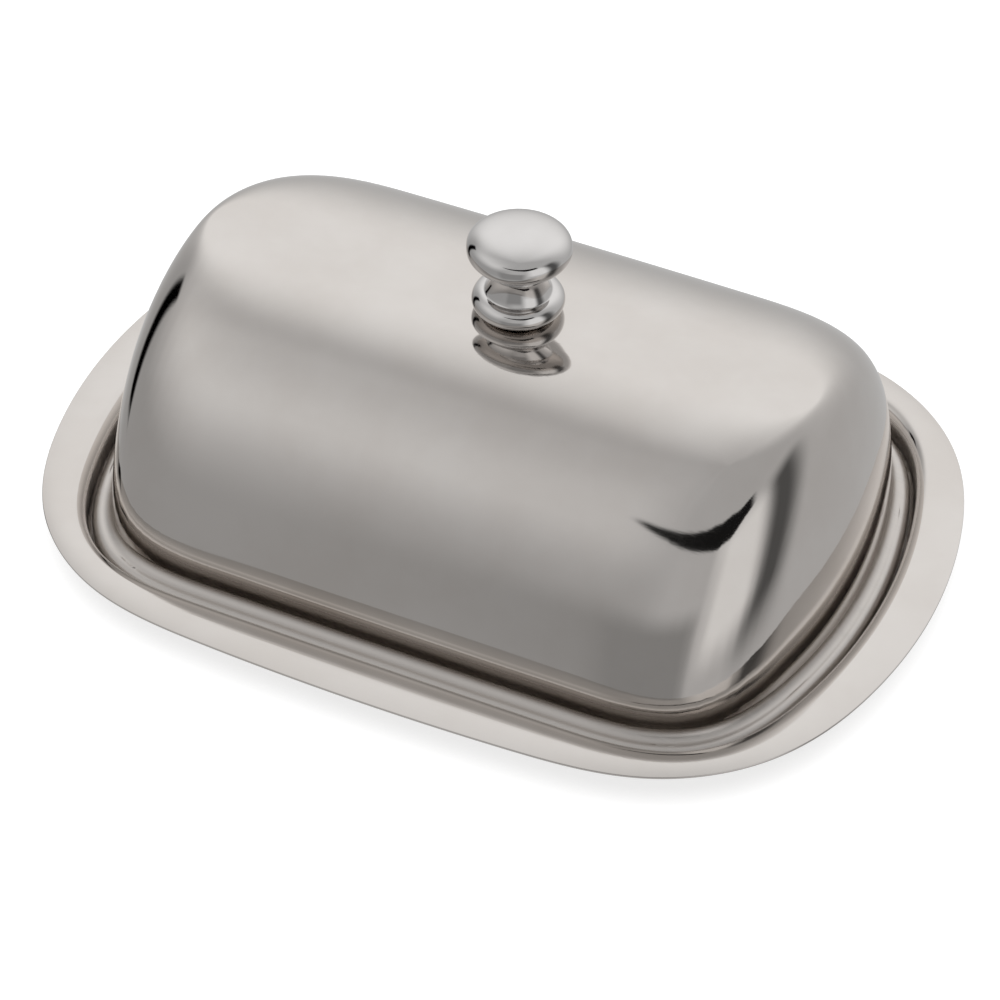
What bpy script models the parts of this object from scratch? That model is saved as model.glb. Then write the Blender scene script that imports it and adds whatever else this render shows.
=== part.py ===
"""Stainless steel butter dish: a pressed tray, a pressed dome that lifts off it, and a turned knob
held to the dome by one screw and a washer from inside.

Metres, +Z up. X runs along the dish. The origin is on the table, under the middle of the tray.
"""

import math

import bmesh
import bpy

MM = 0.001

# Sheet metal and the room between neighbouring pieces
SHEET = 0.6 * MM
FACE_GAP = 0.3 * MM  # between two pieces that rest on each other
LID_PLAY = 1.05 * MM  # round the lid's flange, so that it drops into the tray by itself

# Lid: outline of the dome's wall where it meets the flange
DOME_HALF_LENGTH = 78.7 * MM
DOME_HALF_WIDTH = 54.6 * MM
DOME_CORNER_RADIUS = 24.5 * MM
DOME_END_RADIUS = 114.0 * MM  # the ends bow gently outwards
DOME_SIDE_RADIUS = 4100.0 * MM  # the long sides are almost straight

# Lid: the dome above the flange. Each wall leans in along a quarter of a superellipse
DOME_HEIGHT = 48.9 * MM
END_INSET = 11.7 * MM
END_ROUNDNESS = 1.72
SIDE_INSET = 45.6 * MM
SIDE_ROUNDNESS = 2.02
TOP_CORNER_RADIUS = 8.0 * MM
CROWN_LENGTHWISE = 0.25 * MM
CROWN_CROSSWISE = 0.7 * MM

# Lid: the flange and its turned-down lip
FLANGE_WIDTH = 4.3 * MM
FLANGE_TOP = 4.6 * MM
COVE_RADIUS = 2.2 * MM
LIP_BEND_RADIUS = FLANGE_WIDTH - COVE_RADIUS
LIP_BOTTOM = SHEET + 0.35 * MM  # the lid stands on the tray's floor

# Tray: the rim's outline, and the section from the rim down to the floor
RIM_HALF_LENGTH = 95.0 * MM
RIM_HALF_WIDTH = 71.3 * MM
RIM_CORNER_RADIUS = 49.0 * MM
RIM_END_RADIUS = 111.0 * MM
RIM_SIDE_RADIUS = 630.0 * MM
RIM_EDGE_HEIGHT = 7.5 * MM
RIM_FALL = 0.6 * MM  # the rim falls this far from the roll to its edge
ROLL_RADIUS = 2.8 * MM
FLOOR_FILLET = 1.2 * MM

# Knob, screw and washer
KNOB_HEAD_RADIUS = 10.6 * MM
KNOB_HEAD_HALF_HEIGHT = 4.0 * MM
KNOB_HEAD_CENTRE = 15.1 * MM
KNOB_HEAD_FULLNESS = 2.5  # 2 is an ellipse, more is flatter on top and fuller at the rim
KNOB_WAIST_RADIUS = 5.75 * MM
KNOB_WAIST_ENDS = 6.8 * MM  # radius where the waist meets the head above and the bead below
KNOB_FOOT_RADIUS = 9.4 * MM
KNOB_BEAD_HALF_WIDTH = 3.0 * MM
KNOB_BEAD_HALF_HEIGHT = 2.35 * MM
KNOB_OFFSET = 2.5 * MM  # the knob stands this far from the middle of the dome, toward +X
SCREW_RADIUS = 2.0 * MM
SCREW_REACH = 7.0 * MM  # into the knob
SCREW_HEAD_RADIUS = 4.0 * MM
SCREW_HEAD_HEIGHT = 2.6 * MM
BORE_RADIUS = SCREW_RADIUS + FACE_GAP
BORE_DEPTH = SCREW_REACH + 1.0 * MM
WASHER_RADIUS = 6.0 * MM
WASHER_THICKNESS = 1.0 * MM
DRIVE_SLOT_LENGTH = 4.4 * MM
DRIVE_SLOT_WIDTH = 1.0 * MM
DRIVE_SLOT_DEPTH = 1.5 * MM

# Mesh fineness
END_STEPS = 3  # along half an end
CORNER_STEPS = 7
SIDE_STEPS = 4  # along half a side
ARC_STEPS = 3  # in a small bend of the sheet
DOME_STEPS = 13
TURNED_STEPS = 40

DOME_TOP = FLANGE_TOP + DOME_HEIGHT + CROWN_LENGTHWISE + CROWN_CROSSWISE
KNOB_SEAT = DOME_TOP + FACE_GAP
WASHER_TOP = DOME_TOP - SHEET - FACE_GAP
SCREW_SEAT = WASHER_TOP - WASHER_THICKNESS - FACE_GAP


class Outline:
    """A rounded rectangle whose sides are arcs too, so that it has no straight stretch or kink."""

    def __init__(self, half_length, half_width, corner_radius, end_radius, side_radius):
        self.half_length = half_length
        self.half_width = half_width
        self.corner_radius = corner_radius
        self.end_radius = end_radius
        self.side_radius = side_radius

    def grown(self, distance):
        """The outline at this distance outside this one, or inside it if negative."""
        return Outline(
            self.half_length + distance,
            self.half_width + distance,
            self.corner_radius + distance,
            self.end_radius + distance,
            self.side_radius + distance,
        )

    def corner_centre(self):
        """Where an arc of the corner radius touches both the end's arc and the side's arc."""
        end_centre = self.half_length - self.end_radius
        side_centre = self.half_width - self.side_radius
        from_end = self.end_radius - self.corner_radius
        from_side = self.side_radius - self.corner_radius
        apart = math.hypot(end_centre, side_centre)
        along = (from_end**2 - from_side**2 + apart**2) / (2 * apart)
        across = math.sqrt(from_end**2 - along**2)
        toward_x = -end_centre / apart
        toward_y = side_centre / apart
        return (
            end_centre + along * toward_x - across * toward_y,
            along * toward_y + across * toward_x,
        )

    def quarter(self):
        """Points from the middle of the +X end to just before the middle of the +Y side."""
        corner_x, corner_y = self.corner_centre()
        end_centre = self.half_length - self.end_radius
        side_centre = self.half_width - self.side_radius
        end_turn = math.atan2(corner_y, corner_x - end_centre)
        side_turn = math.atan2(corner_y - side_centre, corner_x)
        arcs = (
            (end_centre, 0.0, self.end_radius, 0.0, end_turn, END_STEPS),
            (corner_x, corner_y, self.corner_radius, end_turn, side_turn, CORNER_STEPS),
            (0.0, side_centre, self.side_radius, side_turn, math.pi / 2, SIDE_STEPS),
        )
        points = []
        for centre_x, centre_y, radius, start, stop, steps in arcs:
            for step in range(steps):
                turn = start + (stop - start) * step / steps
                points.append((centre_x + radius * math.cos(turn), centre_y + radius * math.sin(turn)))
        return points

    def points(self):
        """The whole outline, counter-clockwise from the middle of the +X end."""
        first = self.quarter()
        top = (0.0, self.half_width)
        second = [top] + [(-x, y) for x, y in reversed(first[1:])]
        upper = first + second
        return upper + [(-x, -y) for x, y in upper]


def flat_ring(outline, height):
    return [(x, y, height) for x, y in outline.points()]


def blended(first, second, share):
    """The ring this share of the way from the first ring to the second, point by point."""
    return [
        tuple(start + (end - start) * share for start, end in zip(here, there))
        for here, there in zip(first, second)
    ]


def bend(outline, centre_offset, centre_height, radius, start, stop):
    """Rings round a bend of the sheet. Its centre is given from the outline, its turn in degrees."""
    rings = []
    for step in range(ARC_STEPS + 1):
        turn = math.radians(start + (stop - start) * step / ARC_STEPS)
        offset = centre_offset + radius * math.cos(turn)
        rings.append(flat_ring(outline.grown(offset), centre_height + radius * math.sin(turn)))
    return rings


def link(name, mesh, material, parent=None):
    """Puts the mesh in the scene as one smooth-shaded piece."""
    obj = bpy.data.objects.new(name, mesh)
    bpy.context.scene.collection.objects.link(obj)
    mesh.materials.append(material)
    mesh.shade_smooth()
    mesh.set_sharp_from_angle(angle=math.radians(35))
    obj.parent = parent
    return obj


def metal(name, colour, roughness):
    material = bpy.data.materials.new(name)
    material.use_nodes = True
    surface = material.node_tree.nodes["Principled BSDF"]
    surface.inputs["Base Color"].default_value = (*colour, 1.0)
    surface.inputs["Metallic"].default_value = 1.0
    surface.inputs["Roughness"].default_value = roughness
    return material


def lofted(name, rings, floor=False):
    """A surface through the rings, facing up where they run inwards. The last ring may be filled."""
    sheet = bmesh.new()
    rows = [[sheet.verts.new(point) for point in ring] for ring in rings]
    count = len(rows[0])
    for outer, inner in zip(rows, rows[1:]):
        for i in range(count):
            j = (i + 1) % count
            sheet.faces.new((outer[i], outer[j], inner[j], inner[i]))
    if floor:
        sheet.faces.new(rows[-1])
    mesh = bpy.data.meshes.new(name)
    sheet.to_mesh(mesh)
    sheet.free()
    return mesh


def give_thickness(obj):
    """Pressed sheet: the modelled surface is its upper side."""
    thickness = obj.modifiers.new("sheet", "SOLIDIFY")
    thickness.thickness = SHEET
    thickness.offset = -1.0
    thickness.use_even_offset = True
    thickness.use_quality_normals = True


def dome_inset(height, inset, roundness):
    """How far a wall has leaned in at this height above the flange."""
    share = min(height / DOME_HEIGHT, 1.0)
    return inset * (1.0 - (1.0 - share**roundness) ** (1.0 / roundness))


def crowned(point, height):
    """Adds the dome's shallow crown, which dies away down the walls."""
    x, y, z = point
    weight = (height / DOME_HEIGHT) ** 2
    lengthwise = CROWN_LENGTHWISE * (1.0 - (x / DOME_HALF_LENGTH) ** 2)
    crosswise = CROWN_CROSSWISE * (1.0 - (y / DOME_HALF_WIDTH) ** 2)
    return (x, y, z + weight * (lengthwise + crosswise))


def dome_ring(height):
    end_inset = dome_inset(height, END_INSET, END_ROUNDNESS)
    side_inset = dome_inset(height, SIDE_INSET, SIDE_ROUNDNESS)
    tightening = (side_inset / SIDE_INSET) ** 3
    outline = Outline(
        DOME_HALF_LENGTH - end_inset,
        DOME_HALF_WIDTH - side_inset,
        DOME_CORNER_RADIUS + (TOP_CORNER_RADIUS - DOME_CORNER_RADIUS) * tightening,
        DOME_END_RADIUS,
        DOME_SIDE_RADIUS,
    )
    return [crowned(point, height) for point in flat_ring(outline, FLANGE_TOP + height)]


def hole_ring(count):
    """The screw hole's edge, round the knob's axis."""
    flat_top = FLANGE_TOP + DOME_HEIGHT
    ring = []
    for i in range(count):
        turn = math.tau * i / count
        across = KNOB_OFFSET + BORE_RADIUS * math.cos(turn)
        point = (across, BORE_RADIUS * math.sin(turn), flat_top)
        ring.append(crowned(point, DOME_HEIGHT))
    return ring


def lid_shell(material, parent):
    wall = Outline(
        DOME_HALF_LENGTH, DOME_HALF_WIDTH, DOME_CORNER_RADIUS, DOME_END_RADIUS, DOME_SIDE_RADIUS
    )
    rings = [flat_ring(wall.grown(FLANGE_WIDTH), LIP_BOTTOM)]
    lip_centre = FLANGE_WIDTH - LIP_BEND_RADIUS
    rings += bend(wall, lip_centre, FLANGE_TOP - LIP_BEND_RADIUS, LIP_BEND_RADIUS, 0, 90)
    rings += bend(wall, COVE_RADIUS, FLANGE_TOP + COVE_RADIUS, COVE_RADIUS, 270, 180)[:-1]
    start = math.asin(COVE_RADIUS / DOME_HEIGHT)
    for step in range(DOME_STEPS + 1):
        turn = start + (math.pi / 2 - start) * step / DOME_STEPS
        rings.append(dome_ring(DOME_HEIGHT * math.sin(turn)))
    shoulder = [(x, y, FLANGE_TOP + DOME_HEIGHT) for x, y, _ in rings[-1]]
    hole = [(x, y, FLANGE_TOP + DOME_HEIGHT) for x, y, _ in hole_ring(len(shoulder))]
    for share in (0.5, 0.8):
        rings.append([crowned(point, DOME_HEIGHT) for point in blended(shoulder, hole, share)])
    rings.append(hole_ring(len(shoulder)))
    shell = link("lid_shell", lofted("lid_shell", rings), material, parent)
    give_thickness(shell)


def tray(material):
    wall = Outline(
        DOME_HALF_LENGTH, DOME_HALF_WIDTH, DOME_CORNER_RADIUS, DOME_END_RADIUS, DOME_SIDE_RADIUS
    )
    well = wall.grown(FLANGE_WIDTH + LID_PLAY)
    rim = Outline(
        RIM_HALF_LENGTH, RIM_HALF_WIDTH, RIM_CORNER_RADIUS, RIM_END_RADIUS, RIM_SIDE_RADIUS
    )
    roll_top = RIM_EDGE_HEIGHT + RIM_FALL
    edge = flat_ring(rim, roll_top)
    roll = flat_ring(well.grown(ROLL_RADIUS), roll_top)
    rings = []
    for outward in (1.0, 0.75, 0.5, 0.25):
        ring = blended(roll, edge, outward)
        rings.append([(x, y, z - RIM_FALL * outward**2) for x, y, z in ring])
    rings += bend(well, ROLL_RADIUS, roll_top - ROLL_RADIUS, ROLL_RADIUS, 90, 180)
    rings += bend(well, -FLOOR_FILLET, SHEET + FLOOR_FILLET, FLOOR_FILLET, 0, -90)
    piece = link("tray", lofted("tray", rings, floor=True), material)
    give_thickness(piece)


def turned(name, profile, material, parent, closed=False):
    """A piece turned about Z. The profile's (radius, height) pairs run down its outer side."""
    outline = bmesh.new()
    verts = [outline.verts.new((radius, 0.0, height)) for radius, height in profile]
    for first, second in zip(verts, verts[1:]):
        outline.edges.new((first, second))
    if closed:
        outline.edges.new((verts[-1], verts[0]))
    mesh = bpy.data.meshes.new(name)
    outline.to_mesh(mesh)
    outline.free()
    piece = link(name, mesh, material, parent)
    lathe = piece.modifiers.new("turn", "SCREW")
    lathe.axis = "Z"
    lathe.steps = TURNED_STEPS
    lathe.render_steps = TURNED_STEPS
    lathe.use_smooth_shade = True
    lathe.use_merge_vertices = True
    lathe.merge_threshold = 0.01 * MM
    return piece


def ellipse_arc(centre_radius, centre_height, half_width, half_height, start, stop, steps):
    """(radius, height) pairs along part of an ellipse, its turn in degrees."""
    pairs = []
    for step in range(steps + 1):
        turn = math.radians(start + (stop - start) * step / steps)
        pairs.append((
            centre_radius + half_width * math.cos(turn),
            centre_height + half_height * math.sin(turn),
        ))
    return pairs


def knob_profile():
    """Button head, hollow waist and beaded foot, then up the blind bore."""
    power = 2.0 / KNOB_HEAD_FULLNESS
    underside = -math.degrees(math.acos((KNOB_WAIST_ENDS / KNOB_HEAD_RADIUS) ** (1.0 / power)))
    head = []
    for across, upward in ellipse_arc(0.0, 0.0, 1.0, 1.0, 90, underside, 12):
        bulge = math.copysign(abs(upward) ** power, upward)
        radius = KNOB_HEAD_RADIUS * max(across, 0.0) ** power
        head.append((radius, KNOB_HEAD_CENTRE + KNOB_HEAD_HALF_HEIGHT * bulge))
    head[0] = (0.0, head[0][1])
    bead_centre = KNOB_FOOT_RADIUS - KNOB_BEAD_HALF_WIDTH
    bead_top = math.degrees(math.acos((KNOB_WAIST_ENDS - bead_centre) / KNOB_BEAD_HALF_WIDTH))
    bead = ellipse_arc(
        bead_centre,
        KNOB_BEAD_HALF_HEIGHT,
        KNOB_BEAD_HALF_WIDTH,
        KNOB_BEAD_HALF_HEIGHT,
        bead_top,
        -90,
        9,
    )
    half_height = (head[-1][1] - bead[0][1]) / 2
    hollow = KNOB_WAIST_ENDS - KNOB_WAIST_RADIUS
    waist_arc = (half_height**2 + hollow**2) / (2 * hollow)
    spread = math.degrees(math.asin(half_height / waist_arc))
    waist = ellipse_arc(
        KNOB_WAIST_RADIUS + waist_arc,
        head[-1][1] - half_height,
        waist_arc,
        waist_arc,
        180 - spread,
        180 + spread,
        6,
    )
    bore = [
        (BORE_RADIUS + 0.4 * MM, 0.0),
        (BORE_RADIUS, 0.4 * MM),
        (BORE_RADIUS, BORE_DEPTH),
        (0.0, BORE_DEPTH + BORE_RADIUS * math.tan(math.radians(30))),
    ]
    return head + waist[1:-1] + bead + bore


def knob(material, parent):
    piece = turned("knob", knob_profile(), material, parent)
    piece.location.z = KNOB_SEAT


def knob_washer(material, parent):
    inner = BORE_RADIUS
    profile = [
        (WASHER_RADIUS, 0.0),
        (WASHER_RADIUS, -WASHER_THICKNESS),
        (inner, -WASHER_THICKNESS),
        (inner, 0.0),
    ]
    piece = turned("knob_washer", profile, material, parent, closed=True)
    piece.location.z = WASHER_TOP


def slot_cutter(name, along_x, parent):
    """One bar of the screw's cross recess."""
    length, width = DRIVE_SLOT_LENGTH, DRIVE_SLOT_WIDTH
    size = (length, width) if along_x else (width, length)
    bar = bmesh.new()
    bmesh.ops.create_cube(bar, size=1.0)
    bmesh.ops.scale(bar, vec=(size[0], size[1], 2 * DRIVE_SLOT_DEPTH), verts=bar.verts)
    mesh = bpy.data.meshes.new(name)
    bar.to_mesh(mesh)
    bar.free()
    cutter = bpy.data.objects.new(name, mesh)
    bpy.context.scene.collection.objects.link(cutter)
    cutter.parent = parent
    cutter.location.z = SCREW_SEAT - SCREW_HEAD_HEIGHT
    cutter.hide_render = True
    cutter.display_type = "WIRE"
    return cutter


def knob_screw(material, parent):
    """A pan-head screw that points up: its shank stands in the knob, its head is inside the dome."""
    shank_top = KNOB_SEAT + SCREW_REACH - SCREW_SEAT
    crown_height = 0.9 * MM
    head = ellipse_arc(0.0, crown_height - SCREW_HEAD_HEIGHT, SCREW_HEAD_RADIUS, crown_height, 0, -90, 4)
    head[-1] = (0.0, -SCREW_HEAD_HEIGHT)
    profile = [
        (0.0, shank_top),
        (SCREW_RADIUS - 0.5 * MM, shank_top),
        (SCREW_RADIUS, shank_top - 0.5 * MM),
        (SCREW_RADIUS, 0.0),
        (SCREW_HEAD_RADIUS, 0.0),
    ] + head
    piece = turned("knob_screw", profile, material, parent)
    piece.location.z = SCREW_SEAT
    for name, along_x in (("drive_slot_x", True), ("drive_slot_y", False)):
        recess = piece.modifiers.new(name, "BOOLEAN")
        recess.operation = "DIFFERENCE"
        recess.solver = "EXACT"
        recess.object = slot_cutter(name, along_x, parent)


def main():
    for obj in list(bpy.data.objects):
        bpy.data.objects.remove(obj, do_unlink=True)
    lift = bpy.data.objects.new("lid_lift", None)
    bpy.context.scene.collection.objects.link(lift)
    knob_axis = bpy.data.objects.new("knob_axis", None)
    bpy.context.scene.collection.objects.link(knob_axis)
    knob_axis.parent = lift
    knob_axis.location.x = KNOB_OFFSET
    tray(metal("tray_steel", (0.62, 0.60, 0.58), 0.12))
    lid_shell(metal("lid_steel", (0.60, 0.58, 0.56), 0.10), lift)
    knob(metal("knob_steel", (0.72, 0.72, 0.71), 0.05), knob_axis)
    knob_washer(metal("washer_steel", (0.50, 0.49, 0.48), 0.30), knob_axis)
    knob_screw(metal("screw_steel", (0.45, 0.44, 0.43), 0.25), knob_axis)


main()
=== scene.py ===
"""Looks of the stainless steel butter dish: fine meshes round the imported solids, metal, studio and camera.

Metres, +Z up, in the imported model's own frame.
"""

import math

import bmesh
import bpy
import numpy as np
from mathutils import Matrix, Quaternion, Vector


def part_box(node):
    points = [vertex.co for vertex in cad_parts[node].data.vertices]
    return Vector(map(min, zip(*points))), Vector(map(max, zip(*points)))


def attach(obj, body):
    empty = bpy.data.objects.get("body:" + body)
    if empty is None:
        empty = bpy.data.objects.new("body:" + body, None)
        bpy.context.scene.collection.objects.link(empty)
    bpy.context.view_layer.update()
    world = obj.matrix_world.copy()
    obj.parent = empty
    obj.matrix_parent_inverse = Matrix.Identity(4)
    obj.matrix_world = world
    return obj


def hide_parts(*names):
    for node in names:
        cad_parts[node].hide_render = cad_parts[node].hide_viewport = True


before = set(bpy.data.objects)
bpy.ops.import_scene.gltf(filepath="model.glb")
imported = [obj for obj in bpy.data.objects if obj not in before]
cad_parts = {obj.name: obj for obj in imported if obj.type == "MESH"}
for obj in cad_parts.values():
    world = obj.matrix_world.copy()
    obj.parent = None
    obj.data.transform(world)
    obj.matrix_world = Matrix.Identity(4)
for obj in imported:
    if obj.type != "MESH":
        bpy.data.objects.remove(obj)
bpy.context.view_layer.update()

MM = 0.001

# ---------------------------------------------------------------- sizes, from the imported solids
_, tray_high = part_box("tray")
lid_low, lid_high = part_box("lid_shell")
knob_low, knob_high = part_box("knob")

SHEET = 0.6 * MM
CUT_EDGE_ROUNDING = 0.15 * MM
FLANGE_WIDTH = 4.3 * MM
LID_PLAY = 1.05 * MM

DOME_HALF_LENGTH = lid_high.x - FLANGE_WIDTH
DOME_HALF_WIDTH = lid_high.y - FLANGE_WIDTH
DOME_CORNER_RADIUS = 20.8 * MM
EASING = 1.3  # length over which a corner's curvature builds up, in corner radii
LARGEST_EASING = 26.0 * MM
DOME_END_RADIUS = 114.0 * MM
DOME_SIDE_RADIUS = 4100.0 * MM
END_INSET = 11.7 * MM
END_ROUNDNESS = 1.72
SIDE_INSET = 45.6 * MM
SIDE_ROUNDNESS = 2.02
TOP_CORNER_RADIUS = 8.0 * MM
CROWN_LENGTHWISE = 0.25 * MM
CROWN_CROSSWISE = 0.7 * MM
FLANGE_TOP = 4.6 * MM
DOME_HEIGHT = lid_high.z - FLANGE_TOP - CROWN_LENGTHWISE - CROWN_CROSSWISE
COVE_RADIUS = 2.2 * MM
LIP_BEND_RADIUS = FLANGE_WIDTH - COVE_RADIUS
LIP_BOTTOM = lid_low.z

RIM_HALF_LENGTH = tray_high.x
RIM_HALF_WIDTH = tray_high.y
RIM_CORNER_RADIUS = 47.6 * MM
RIM_END_RADIUS = 111.0 * MM
RIM_SIDE_RADIUS = 630.0 * MM
ROLL_TOP = tray_high.z
RIM_FALL = 0.6 * MM
ROLL_RADIUS = 2.8 * MM
FLOOR_FILLET = 1.2 * MM

KNOB_AXIS = (knob_low.x + knob_high.x) / 2
KNOB_HEAD_RADIUS = (knob_high.x - knob_low.x) / 2
KNOB_HEAD_HALF_HEIGHT = 4.0 * MM
KNOB_HEAD_CENTRE = knob_high.z - knob_low.z - KNOB_HEAD_HALF_HEIGHT
KNOB_HEAD_FULLNESS = 2.5  # 2 is an ellipse, more is flatter on top and fuller at the rim
KNOB_WAIST_RADIUS = 5.75 * MM
KNOB_WAIST_ENDS = 6.8 * MM  # radius where the waist meets the head above and the bead below
KNOB_FOOT_RADIUS = 9.4 * MM
KNOB_BEAD_HALF_WIDTH = 3.0 * MM
KNOB_BEAD_HALF_HEIGHT = 2.35 * MM
BORE_RADIUS = 2.3 * MM
BORE_DEPTH = 8.0 * MM

# Mesh fineness
END_STEPS = 14
CORNER_STEPS = 40
SIDE_STEPS = 20
BEND_STEPS = 10
DOME_STEPS = 56
CROWN_RINGS = 12  # from the dome's shoulder to the hole for the screw
RIM_RINGS = 16
TURNED_STEPS = 160


# ---------------------------------------------------------------- outlines
class Outline:
    """A rounded rectangle whose sides are arcs too, so that it has no straight stretch or kink."""

    def __init__(self, half_length, half_width, corner_radius, end_radius, side_radius):
        self.half_length = half_length
        self.half_width = half_width
        self.corner_radius = corner_radius
        self.end_radius = end_radius
        self.side_radius = side_radius

    def grown(self, distance):
        """The outline at this distance outside this one, or inside it if negative."""
        return Outline(
            self.half_length + distance,
            self.half_width + distance,
            self.corner_radius + distance,
            self.end_radius + distance,
            self.side_radius + distance,
        )

    def corner_centre(self):
        """Where an arc of the corner radius touches both the end's arc and the side's arc."""
        end_centre = self.half_length - self.end_radius
        side_centre = self.half_width - self.side_radius
        from_end = self.end_radius - self.corner_radius
        from_side = self.side_radius - self.corner_radius
        apart = math.hypot(end_centre, side_centre)
        along = (from_end**2 - from_side**2 + apart**2) / (2 * apart)
        across = math.sqrt(from_end**2 - along**2)
        toward_x = -end_centre / apart
        toward_y = side_centre / apart
        return (
            end_centre + along * toward_x - across * toward_y,
            along * toward_y + across * toward_x,
        )

    def quarter(self):
        """Points from the middle of the +X end to just before the middle of the +Y side."""
        corner_x, corner_y = self.corner_centre()
        end_centre = self.half_length - self.end_radius
        side_centre = self.half_width - self.side_radius
        end_turn = math.atan2(corner_y, corner_x - end_centre)
        side_turn = math.atan2(corner_y - side_centre, corner_x)
        arcs = (
            (end_centre, 0.0, self.end_radius, 0.0, end_turn, END_STEPS),
            (corner_x, corner_y, self.corner_radius, end_turn, side_turn, CORNER_STEPS),
            (0.0, side_centre, self.side_radius, side_turn, math.pi / 2, SIDE_STEPS),
        )
        points = []
        for centre_x, centre_y, radius, start, stop, steps in arcs:
            for step in range(steps):
                turn = start + (stop - start) * step / steps
                points.append((centre_x + radius * math.cos(turn), centre_y + radius * math.sin(turn)))
        return points

    def points(self):
        """The whole outline, counter-clockwise from the middle of the +X end."""
        first = self.quarter()
        top = (0.0, self.half_width)
        second = [top] + [(-x, y) for x, y in reversed(first[1:])]
        upper = first + second
        easing = min(EASING * self.corner_radius, LARGEST_EASING)
        return eased(upper + [(-x, -y) for x, y in upper], easing)


def eased(points, easing):
    """The closed line with each point moved to the middle of a short stretch of line round it.

    Where two arcs meet, the curvature then changes gradually, as it does in pressed sheet.
    """
    loop = np.array(points * 3 + points[:1])
    steps = np.linalg.norm(np.diff(loop, axis=0), axis=1)
    walked = np.concatenate(([0.0], np.cumsum(steps)))
    halfway = (loop[1:] + loop[:-1]) / 2 * steps[:, None]
    summed = np.vstack((np.zeros(2), np.cumsum(halfway, axis=0)))
    here = walked[len(points):2 * len(points)]
    sides = []
    for axis in (0, 1):
        ahead = np.interp(here + easing / 2, walked, summed[:, axis])
        behind = np.interp(here - easing / 2, walked, summed[:, axis])
        sides.append((ahead - behind) / easing)
    return [tuple(point) for point in np.transpose(sides).tolist()]


def flat_ring(outline, height):
    return [(x, y, height) for x, y in outline.points()]


def blended(first, second, share):
    """The ring this share of the way from the first ring to the second, point by point."""
    return [
        tuple(start + (end - start) * share for start, end in zip(here, there))
        for here, there in zip(first, second)
    ]


def bend(outline, centre_offset, centre_height, radius, start, stop):
    """Rings round a bend of the sheet. Its centre is given from the outline, its turn in degrees."""
    rings = []
    for step in range(BEND_STEPS + 1):
        turn = math.radians(start + (stop - start) * step / BEND_STEPS)
        offset = centre_offset + radius * math.cos(turn)
        rings.append(flat_ring(outline.grown(offset), centre_height + radius * math.sin(turn)))
    return rings


# ---------------------------------------------------------------- mesh making
def lofted(name, rings, floor=False):
    """A surface through the rings, facing up where they run inwards. The last ring may be filled."""
    sheet = bmesh.new()
    rows = [[sheet.verts.new(point) for point in ring] for ring in rings]
    count = len(rows[0])
    for outer, inner in zip(rows, rows[1:]):
        for i in range(count):
            j = (i + 1) % count
            sheet.faces.new((outer[i], outer[j], inner[j], inner[i]))
    if floor:
        sheet.faces.new(rows[-1])
    mesh = bpy.data.meshes.new(name)
    sheet.to_mesh(mesh)
    sheet.free()
    return mesh


def placed(name, mesh, material, body, node, axis=0.0):
    piece = bpy.data.objects.new(name, mesh)
    piece.location.x = axis
    bpy.context.scene.collection.objects.link(piece)
    mesh.materials.append(material)
    mesh.shade_smooth()
    mesh.set_sharp_from_angle(angle=math.radians(35))
    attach(piece, body)
    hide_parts(node)
    return piece


def give_thickness(piece):
    thickness = piece.modifiers.new("sheet", "SOLIDIFY")
    thickness.thickness = SHEET
    thickness.offset = -1.0
    thickness.use_even_offset = True
    thickness.use_quality_normals = True
    edge = piece.modifiers.new("edge", "BEVEL")
    edge.width = CUT_EDGE_ROUNDING
    edge.segments = 3
    edge.limit_method = "ANGLE"
    edge.angle_limit = math.radians(50)
    edge.harden_normals = True


# ---------------------------------------------------------------- lid
def dome_inset(height, inset, roundness):
    share = min(height / DOME_HEIGHT, 1.0)
    return inset * (1.0 - (1.0 - share**roundness) ** (1.0 / roundness))


def crowned(point, height):
    x, y, z = point
    weight = (height / DOME_HEIGHT) ** 2
    lengthwise = CROWN_LENGTHWISE * (1.0 - (x / DOME_HALF_LENGTH) ** 2)
    crosswise = CROWN_CROSSWISE * (1.0 - (y / DOME_HALF_WIDTH) ** 2)
    return (x, y, z + weight * (lengthwise + crosswise))


def dome_ring(height):
    end_inset = dome_inset(height, END_INSET, END_ROUNDNESS)
    side_inset = dome_inset(height, SIDE_INSET, SIDE_ROUNDNESS)
    tightening = (side_inset / SIDE_INSET) ** 3
    outline = Outline(
        DOME_HALF_LENGTH - end_inset,
        DOME_HALF_WIDTH - side_inset,
        DOME_CORNER_RADIUS + (TOP_CORNER_RADIUS - DOME_CORNER_RADIUS) * tightening,
        DOME_END_RADIUS,
        DOME_SIDE_RADIUS,
    )
    return [crowned(point, height) for point in flat_ring(outline, FLANGE_TOP + height)]


def hole_ring(count):
    flat_top = FLANGE_TOP + DOME_HEIGHT
    ring = []
    for i in range(count):
        turn = math.tau * i / count
        across = KNOB_AXIS + BORE_RADIUS * math.cos(turn)
        point = (across, BORE_RADIUS * math.sin(turn), flat_top)
        ring.append(crowned(point, DOME_HEIGHT))
    return ring


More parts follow.
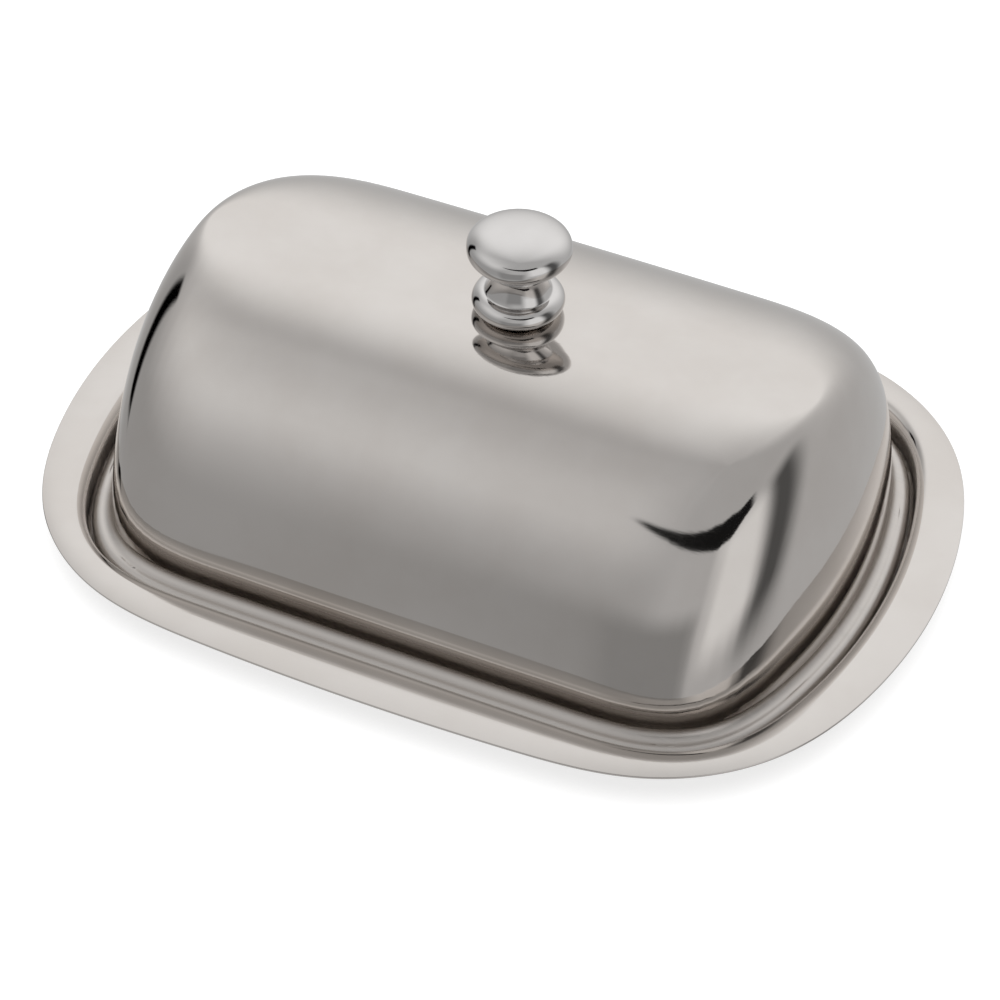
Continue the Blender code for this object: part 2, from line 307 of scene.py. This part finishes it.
def lid_shell(material):
    wall = Outline(
        DOME_HALF_LENGTH, DOME_HALF_WIDTH, DOME_CORNER_RADIUS, DOME_END_RADIUS, DOME_SIDE_RADIUS
    )
    rings = [flat_ring(wall.grown(FLANGE_WIDTH), LIP_BOTTOM)]
    lip_centre = FLANGE_WIDTH - LIP_BEND_RADIUS
    rings += bend(wall, lip_centre, FLANGE_TOP - LIP_BEND_RADIUS, LIP_BEND_RADIUS, 0, 90)
    rings += bend(wall, COVE_RADIUS, FLANGE_TOP + COVE_RADIUS, COVE_RADIUS, 270, 180)[:-1]
    start = math.asin(COVE_RADIUS / DOME_HEIGHT)
    for step in range(DOME_STEPS + 1):
        turn = start + (math.pi / 2 - start) * step / DOME_STEPS
        rings.append(dome_ring(DOME_HEIGHT * math.sin(turn)))
    shoulder = [(x, y, FLANGE_TOP + DOME_HEIGHT) for x, y, _ in rings[-1]]
    hole = [(x, y, FLANGE_TOP + DOME_HEIGHT) for x, y, _ in hole_ring(len(shoulder))]
    for step in range(1, CROWN_RINGS):
        ring = blended(shoulder, hole, step / CROWN_RINGS)
        rings.append([crowned(point, DOME_HEIGHT) for point in ring])
    rings.append(hole_ring(len(shoulder)))
    mesh = lofted("lid_dome", rings)
    shell = placed("lid_dome", mesh, material, "lid", "lid_shell")
    give_thickness(shell)


# ---------------------------------------------------------------- tray
def tray(material):
    wall = Outline(
        DOME_HALF_LENGTH, DOME_HALF_WIDTH, DOME_CORNER_RADIUS, DOME_END_RADIUS, DOME_SIDE_RADIUS
    )
    well = wall.grown(FLANGE_WIDTH + LID_PLAY)
    rim = Outline(
        RIM_HALF_LENGTH, RIM_HALF_WIDTH, RIM_CORNER_RADIUS, RIM_END_RADIUS, RIM_SIDE_RADIUS
    )
    edge = flat_ring(rim, ROLL_TOP)
    roll = flat_ring(well.grown(ROLL_RADIUS), ROLL_TOP)
    rings = []
    for step in range(RIM_RINGS):
        outward = 1.0 - step / RIM_RINGS
        ring = blended(roll, edge, outward)
        rings.append([(x, y, z - RIM_FALL * outward**2) for x, y, z in ring])
    rings += bend(well, ROLL_RADIUS, ROLL_TOP - ROLL_RADIUS, ROLL_RADIUS, 90, 180)
    rings += bend(well, -FLOOR_FILLET, SHEET + FLOOR_FILLET, FLOOR_FILLET, 0, -90)
    mesh = lofted("tray_pressing", rings, floor=True)
    piece = placed("tray_pressing", mesh, material, "tray", "tray")
    give_thickness(piece)


# ---------------------------------------------------------------- turned pieces
def turned(name, profile, material, body, node, closed=False):
    outline = bmesh.new()
    verts = [outline.verts.new((radius, 0.0, height)) for radius, height in profile]
    for first, second in zip(verts, verts[1:]):
        outline.edges.new((first, second))
    if closed:
        outline.edges.new((verts[-1], verts[0]))
    mesh = bpy.data.meshes.new(name)
    outline.to_mesh(mesh)
    outline.free()
    piece = placed(name, mesh, material, body, node, axis=KNOB_AXIS)
    lathe = piece.modifiers.new("turn", "SCREW")
    lathe.axis = "Z"
    lathe.steps = TURNED_STEPS
    lathe.render_steps = TURNED_STEPS
    lathe.use_smooth_shade = True
    lathe.use_merge_vertices = True
    lathe.merge_threshold = 0.01 * MM
    return piece


def ellipse_arc(centre_radius, centre_height, half_width, half_height, start, stop, steps):
    pairs = []
    for step in range(steps + 1):
        turn = math.radians(start + (stop - start) * step / steps)
        pairs.append((
            centre_radius + half_width * math.cos(turn),
            centre_height + half_height * math.sin(turn),
        ))
    return pairs


def knob_profile():
    """Button head, hollow waist and beaded foot, then up the blind bore."""
    power = 2.0 / KNOB_HEAD_FULLNESS
    underside = -math.degrees(math.acos((KNOB_WAIST_ENDS / KNOB_HEAD_RADIUS) ** (1.0 / power)))
    head = []
    for across, upward in ellipse_arc(0.0, 0.0, 1.0, 1.0, 90, underside, 72):
        bulge = math.copysign(abs(upward) ** power, upward)
        radius = KNOB_HEAD_RADIUS * max(across, 0.0) ** power
        head.append((radius, KNOB_HEAD_CENTRE + KNOB_HEAD_HALF_HEIGHT * bulge))
    head[0] = (0.0, head[0][1])
    bead_centre = KNOB_FOOT_RADIUS - KNOB_BEAD_HALF_WIDTH
    bead_top = math.degrees(math.acos((KNOB_WAIST_ENDS - bead_centre) / KNOB_BEAD_HALF_WIDTH))
    bead = ellipse_arc(
        bead_centre, KNOB_BEAD_HALF_HEIGHT, KNOB_BEAD_HALF_WIDTH, KNOB_BEAD_HALF_HEIGHT,
        bead_top, -90, 36)
    half_height = (head[-1][1] - bead[0][1]) / 2
    hollow = KNOB_WAIST_ENDS - KNOB_WAIST_RADIUS
    waist_arc = (half_height**2 + hollow**2) / (2 * hollow)
    spread = math.degrees(math.asin(half_height / waist_arc))
    waist = ellipse_arc(
        KNOB_WAIST_RADIUS + waist_arc, head[-1][1] - half_height, waist_arc, waist_arc,
        180 - spread, 180 + spread, 24)
    bore = [
        (BORE_RADIUS + 0.4 * MM, 0.0),
        (BORE_RADIUS, 0.4 * MM),
        (BORE_RADIUS, BORE_DEPTH),
        (0.0, BORE_DEPTH + BORE_RADIUS * math.tan(math.radians(30))),
    ]
    pairs = head + waist[1:-1] + bead + bore
    return [(radius, knob_low.z + height) for radius, height in pairs]


def knob(material):
    turned("knob_turning", knob_profile(), material, "lid", "knob")


def inner_fixings(material):
    """The washer and screw under the knob keep their CAD shape and get the metal's grain."""
    for name in ("knob_washer", "knob_screw"):
        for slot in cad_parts[name].material_slots:
            slot.material = material


# ---------------------------------------------------------------- shader nodes
class Graph:
    """Short calls for building the node tree of one material or of the world."""

    def __init__(self, tree):
        self.tree = tree

    def feed(self, socket, value):
        if isinstance(value, bpy.types.NodeSocket):
            self.tree.links.new(value, socket)
        else:
            socket.default_value = value

    def node(self, kind, inputs=None, **settings):
        made = self.tree.nodes.new("ShaderNode" + kind)
        for name, value in settings.items():
            setattr(made, name, value)
        for name, value in (inputs or {}).items():
            self.feed(made.inputs[name], value)
        return made

    def math(self, operation, *values):
        made = self.node("Math", operation=operation)
        for socket, value in zip(made.inputs, values):
            self.feed(socket, value)
        return made.outputs["Value"]

    def remap(self, value, low, high, to_low=0.0, to_high=1.0):
        """Carries the stretch from low to high over to a smooth rise from to_low to to_high."""
        inputs = {"Value": value, "From Min": low, "From Max": high, "To Min": to_low, "To Max": to_high}
        made = self.node("MapRange", inputs, interpolation_type="SMOOTHSTEP")
        return made.outputs["Result"]

    def blend(self, share, first, second):
        made = self.node("Mix", data_type="FLOAT")
        for index, value in ((0, share), (2, first), (3, second)):
            self.feed(made.inputs[index], value)
        return made.outputs[0]

    def tint(self, share, first, second):
        made = self.node("Mix", data_type="RGBA")
        for index, value in ((0, share), (6, (*first, 1.0)), (7, (*second, 1.0))):
            self.feed(made.inputs[index], value)
        return made.outputs[2]

    def noise(self, place, scales, detail=2.0, roughness=0.5):
        """Noise from 0 to 1. The scales give its lumps per metre along each axis."""
        stretched = self.node("VectorMath", operation="MULTIPLY")
        self.feed(stretched.inputs[0], place)
        self.feed(stretched.inputs[1], scales)
        inputs = {"Vector": stretched.outputs[0], "Scale": 1.0, "Detail": detail, "Roughness": roughness}
        return self.node("TexNoise", inputs).outputs["Fac"]


# ---------------------------------------------------------------- metals
STEEL_LIGHT = (0.665, 0.634, 0.607)
STEEL_DARK = (0.625, 0.590, 0.560)
KNOB_LIGHT = (0.690, 0.675, 0.665)
KNOB_DARK = (0.640, 0.622, 0.610)

# Grain of the metal, in lumps per metre
ALONG = 14.0  # along a scratch
ACROSS = 2600.0  # across it
STREAK = 1100.0  # across the short streaks of the flange
BLOTCH = 34.0
WAVE = 55.0

# The brushed zones: the tray's well, and the lid's flange and cove
BRUSHED_ROUGHNESS = 0.36
BRUSHED_DEPTH = 0.003 * MM
BRUSHED_GRAIN = 0.10  # how much the streaks of a brushed zone add to its roughness

# The polished surfaces
TRAY_ROUGHNESS = 0.07
LID_ROUGHNESS = 0.05
KNOB_ROUGHNESS = 0.05
FIXING_ROUGHNESS = 0.22
SHEET_SCRATCH_DEPTH = 0.002 * MM
KNOB_SCRATCH_DEPTH = 0.0006 * MM
SHEET_WAVE_DEPTH = 0.03 * MM
KNOB_WAVE_DEPTH = 0.01 * MM
FIXING_WAVE_DEPTH = 0.005 * MM


def polished(name, light, dark, roughness, scratch_depth, wave_depth, marks):
    """Polished steel: hair-fine scratches, cloudy roughness and tone, and a slight waviness of the sheet.

    marks(graph, place) returns the piece's scratch pattern and its brushed share, both from 0 to 1.
    """
    material = bpy.data.materials.new(name)
    material.use_nodes = True
    graph = Graph(material.node_tree)
    surface = material.node_tree.nodes["Principled BSDF"]
    place = graph.node("TexCoord").outputs["Object"]
    scratches, brushed = marks(graph, place)
    cloud = graph.noise(place, (BLOTCH, BLOTCH, BLOTCH), detail=4.0, roughness=0.6)
    wave = graph.noise(place, (WAVE, WAVE, WAVE), detail=1.0)
    cloudy = graph.remap(cloud, 0.3, 0.7)
    scratched = graph.remap(scratches, 0.5, 0.75)
    clouded = graph.remap(cloud, 0.3, 0.7, roughness * 0.75, roughness * 1.3)
    worn = graph.math("MULTIPLY_ADD", scratched, roughness * 0.5, clouded)
    brushed_rough = graph.math("MULTIPLY_ADD", scratched, BRUSHED_GRAIN, BRUSHED_ROUGHNESS)
    rough = graph.blend(brushed, worn, brushed_rough)
    tone = graph.blend(brushed, cloudy, scratched)
    depth = graph.blend(brushed, scratch_depth, BRUSHED_DEPTH)
    fine = graph.node("Bump", {"Strength": 1.0, "Distance": depth, "Height": scratches})
    bump = graph.node("Bump", {
        "Strength": 1.0, "Distance": wave_depth, "Height": wave, "Normal": fine.outputs["Normal"]})
    graph.feed(surface.inputs["Base Color"], graph.tint(tone, dark, light))
    graph.feed(surface.inputs["Roughness"], rough)
    graph.feed(surface.inputs["Normal"], bump.outputs["Normal"])
    surface.inputs["Metallic"].default_value = 1.0
    return material


def long_scratches(graph, place):
    """Scratches that run along the piece: lengthwise on its top and sides, crosswise on its ends."""
    lengthwise = graph.noise(place, (ALONG, ACROSS, ACROSS))
    crosswise = graph.noise(place, (ACROSS, ALONG, ACROSS))
    facing = graph.node("SeparateXYZ", {"Vector": graph.node("TexCoord").outputs["Normal"]})
    end_share = graph.remap(graph.math("ABSOLUTE", facing.outputs["X"]), 0.45, 0.8)
    return graph.blend(end_share, lengthwise, crosswise)


def tray_marks(graph, place):
    """Long scratches, and a duller well, which no polishing wheel reaches."""
    height = graph.node("SeparateXYZ", {"Vector": place}).outputs["Z"]
    in_well = graph.remap(height, ROLL_TOP - 1.2 * MM, ROLL_TOP - 2.5 * MM)
    return long_scratches(graph, place), in_well


def lid_marks(graph, place):
    """Long scratches on the dome, and short ones on its flange and cove, which are left brushed."""
    height = graph.node("SeparateXYZ", {"Vector": place}).outputs["Z"]
    cove_top = FLANGE_TOP + COVE_RADIUS
    on_flange = graph.remap(height, cove_top, cove_top - 0.8 * MM)
    short = graph.noise(place, (BLOTCH, STREAK, BLOTCH))
    return graph.blend(on_flange, long_scratches(graph, place), short), on_flange


def turning_marks(graph, place):
    """Fine rings left by turning and polishing on a lathe."""
    sides = graph.node("SeparateXYZ", {"Vector": place})
    radius = graph.math("SQRT", graph.math(
        "MULTIPLY_ADD", sides.outputs["X"], sides.outputs["X"],
        graph.math("MULTIPLY", sides.outputs["Y"], sides.outputs["Y"])))
    section = graph.node("CombineXYZ", {"X": radius, "Z": sides.outputs["Z"]})
    return graph.noise(section.outputs["Vector"], (ACROSS, ACROSS, ACROSS)), 0.0


# ---------------------------------------------------------------- studio
FLOOR_HALF = 12.0
FLOOR_WHITE = 0.45
FLOOR_GLOW = 0.70  # the paper is lit from below too, which keeps the shadow faint
FLOOR_GRAIN = 400.0  # lumps per metre
LAMP_SIZE = 2.5
LAMP_HEIGHT = 1.6
LAMP_POWER = 24.0

# The soft light tent, by direction in degrees. Azimuth 0 is behind the dish (+Y) and 90 is off its
# right end (+X). A later panel covers an earlier one.
TENT_WALL = 0.54
TENT_PANELS = (
    # name, azimuth, half width, elevation, half height, softness, brightness
    ("roof", 0, 180, 75, 25, 30, 0.50),
    ("back_lamp", 345, 50, 40, 30, 60, 1.05),
    ("left_wall", 240, 60, 0, 40, 30, 0.40),
    ("left_lamp", 235, 40, 45, 20, 50, 0.80),
    ("left_seam", 280, 5, 5, 25, 5, 0.00),
    ("right_flag", 85, 15, 10, 35, 20, 0.10),
    ("right_lamp", 115, 20, 15, 30, 20, 0.90),
    ("front_table", 170, 25, -15, 25, 15, 0.30),
)
# The dark opening that the camera looks in through: its lower edge climbs away from GAP_MIDDLE
GAP_MIDDLE = 138.0
GAP_LOW = 40.0
GAP_SLOPE = 0.20
GAP_TOP = 54.0
GAP_SOFTNESS = 1.0
GAP_CENTRE = 154.0
GAP_HALF_WIDTH = 46.0
GAP_FADE = 4.0
GAP_SHINE = 0.01


def floor():
    material = bpy.data.materials.new("studio_floor")
    material.use_nodes = True
    graph = Graph(material.node_tree)
    surface = material.node_tree.nodes["Principled BSDF"]
    place = graph.node("TexCoord").outputs["Object"]
    fibres = graph.noise(place, (FLOOR_GRAIN, FLOOR_GRAIN, FLOOR_GRAIN))
    grain = graph.remap(fibres, 0.3, 0.7, FLOOR_WHITE * 0.995, FLOOR_WHITE)
    shade = graph.node("CombineColor", {"Red": grain, "Green": grain, "Blue": grain})
    graph.feed(surface.inputs["Base Color"], shade.outputs["Color"])
    surface.inputs["Roughness"].default_value = 1.0
    surface.inputs["Specular IOR Level"].default_value = 0.0
    surface.inputs["Emission Color"].default_value = (1.0, 1.0, 1.0, 1.0)
    surface.inputs["Emission Strength"].default_value = FLOOR_GLOW
    corners = [(-FLOOR_HALF, -FLOOR_HALF, 0), (FLOOR_HALF, -FLOOR_HALF, 0),
               (FLOOR_HALF, FLOOR_HALF, 0), (-FLOOR_HALF, FLOOR_HALF, 0)]
    mesh = bpy.data.meshes.new("studio_floor")
    mesh.from_pydata(corners, [], [(0, 1, 2, 3)])
    mesh.materials.append(material)
    plane = bpy.data.objects.new("studio_floor", mesh)
    bpy.context.scene.collection.objects.link(plane)
    plane.visible_glossy = False


def tent():
    """A world that is bright and dim by direction, as the inside of a photographer's light tent."""
    sky = bpy.data.worlds.new("light_tent")
    bpy.context.scene.world = sky
    sky.use_nodes = True
    graph = Graph(sky.node_tree)
    toward = graph.node("TexCoord").outputs["Generated"]
    sides = graph.node("SeparateXYZ", {"Vector": toward})
    azimuth = graph.math("DEGREES", graph.math("ARCTAN2", sides.outputs["X"], sides.outputs["Y"]))
    elevation = graph.math("DEGREES", graph.math("ARCSINE", sides.outputs["Z"]))

    def away_from(middle):
        return graph.math("ABSOLUTE", graph.math("WRAP", graph.math("SUBTRACT", azimuth, middle), 180, -180))

    brightness = TENT_WALL
    for _, middle, half_width, height, half_height, soft, shine in TENT_PANELS:
        upward = graph.math("ABSOLUTE", graph.math("SUBTRACT", elevation, height))
        mask = graph.math(
            "MULTIPLY",
            graph.remap(away_from(middle), half_width + soft / 2, half_width - soft / 2),
            graph.remap(upward, half_height + soft / 2, half_height - soft / 2))
        brightness = graph.blend(mask, brightness, shine)
    lower_edge = graph.math("MULTIPLY_ADD", away_from(GAP_MIDDLE), GAP_SLOPE, GAP_LOW)
    above_lower = graph.math("SUBTRACT", elevation, lower_edge)
    gap = graph.math(
        "MULTIPLY",
        graph.remap(above_lower, -GAP_SOFTNESS, GAP_SOFTNESS),
        graph.remap(elevation, GAP_TOP + GAP_SOFTNESS, GAP_TOP - GAP_SOFTNESS))
    gap = graph.math("MULTIPLY", gap, graph.remap(
        away_from(GAP_CENTRE), GAP_HALF_WIDTH + GAP_FADE, GAP_HALF_WIDTH - GAP_FADE))
    brightness = graph.blend(gap, brightness, GAP_SHINE)
    tent_light = sky.node_tree.nodes["Background"]
    graph.feed(tent_light.inputs["Color"], brightness)
    paper = graph.node("Background", {"Color": (1.0, 1.0, 1.0, 1.0), "Strength": 1.0})
    seen = graph.node("MixShader")
    graph.feed(seen.inputs[0], graph.node("LightPath").outputs["Is Camera Ray"])
    graph.feed(seen.inputs[1], tent_light.outputs["Background"])
    graph.feed(seen.inputs[2], paper.outputs["Background"])
    graph.feed(sky.node_tree.nodes["World Output"].inputs["Surface"], seen.outputs["Shader"])


def floor_light():
    """A wide soft lamp overhead that whitens the floor. The steel shows the tent instead of it."""
    data = bpy.data.lights.new("floor_light", "AREA")
    data.shape = "DISK"
    data.size = LAMP_SIZE
    data.energy = LAMP_POWER
    lamp = bpy.data.objects.new("floor_light", data)
    lamp.location = (0.0, 0.0, LAMP_HEIGHT)
    lamp.visible_glossy = False
    lamp.visible_camera = False
    bpy.context.scene.collection.objects.link(lamp)


CAMERA_AZIMUTH = math.radians(24.455)
CAMERA_ELEVATION = math.radians(41.73)
CAMERA_ROLL = math.radians(0.99)
CAMERA_DISTANCE = 794.8 * MM
CAMERA_LENS = 137.46
CAMERA_SENSOR = 36.0
CAMERA_SHIFT = (-0.0038, -0.0206)
MOST_BOUNCES = 16
MOST_GLOSSY_BOUNCES = 12


def camera():
    back = Vector((
        math.sin(CAMERA_AZIMUTH) * math.cos(CAMERA_ELEVATION),
        -math.cos(CAMERA_AZIMUTH) * math.cos(CAMERA_ELEVATION),
        math.sin(CAMERA_ELEVATION),
    ))
    aim = Vector((0.0, 0.0, ROLL_TOP - RIM_FALL))
    data = bpy.data.cameras.new("camera")
    data.lens = CAMERA_LENS
    data.sensor_width = CAMERA_SENSOR
    data.shift_x, data.shift_y = CAMERA_SHIFT
    data.clip_start = 0.1
    eye = bpy.data.objects.new("camera", data)
    bpy.context.scene.collection.objects.link(eye)
    eye.location = aim + back * CAMERA_DISTANCE
    eye.rotation_mode = "QUATERNION"
    upright = (-back).to_track_quat("-Z", "Y")
    eye.rotation_quaternion = upright @ Quaternion((0.0, 0.0, 1.0), CAMERA_ROLL)
    bpy.context.scene.camera = eye


def main():
    tray(polished(
        "tray_steel", STEEL_LIGHT, STEEL_DARK, TRAY_ROUGHNESS,
        SHEET_SCRATCH_DEPTH, SHEET_WAVE_DEPTH, tray_marks))
    lid_shell(polished(
        "lid_steel", STEEL_LIGHT, STEEL_DARK, LID_ROUGHNESS,
        SHEET_SCRATCH_DEPTH, SHEET_WAVE_DEPTH, lid_marks))
    knob(polished(
        "knob_steel", KNOB_LIGHT, KNOB_DARK, KNOB_ROUGHNESS,
        KNOB_SCRATCH_DEPTH, KNOB_WAVE_DEPTH, turning_marks))
    inner_fixings(polished(
        "fixing_steel", STEEL_LIGHT, STEEL_DARK, FIXING_ROUGHNESS,
        SHEET_SCRATCH_DEPTH, FIXING_WAVE_DEPTH, turning_marks))
    floor()
    tent()
    floor_light()
    camera()
    bpy.context.scene.view_settings.view_transform = "Standard"
    bpy.context.scene.cycles.max_bounces = MOST_BOUNCES
    bpy.context.scene.cycles.glossy_bounces = MOST_GLOSSY_BOUNCES


main()
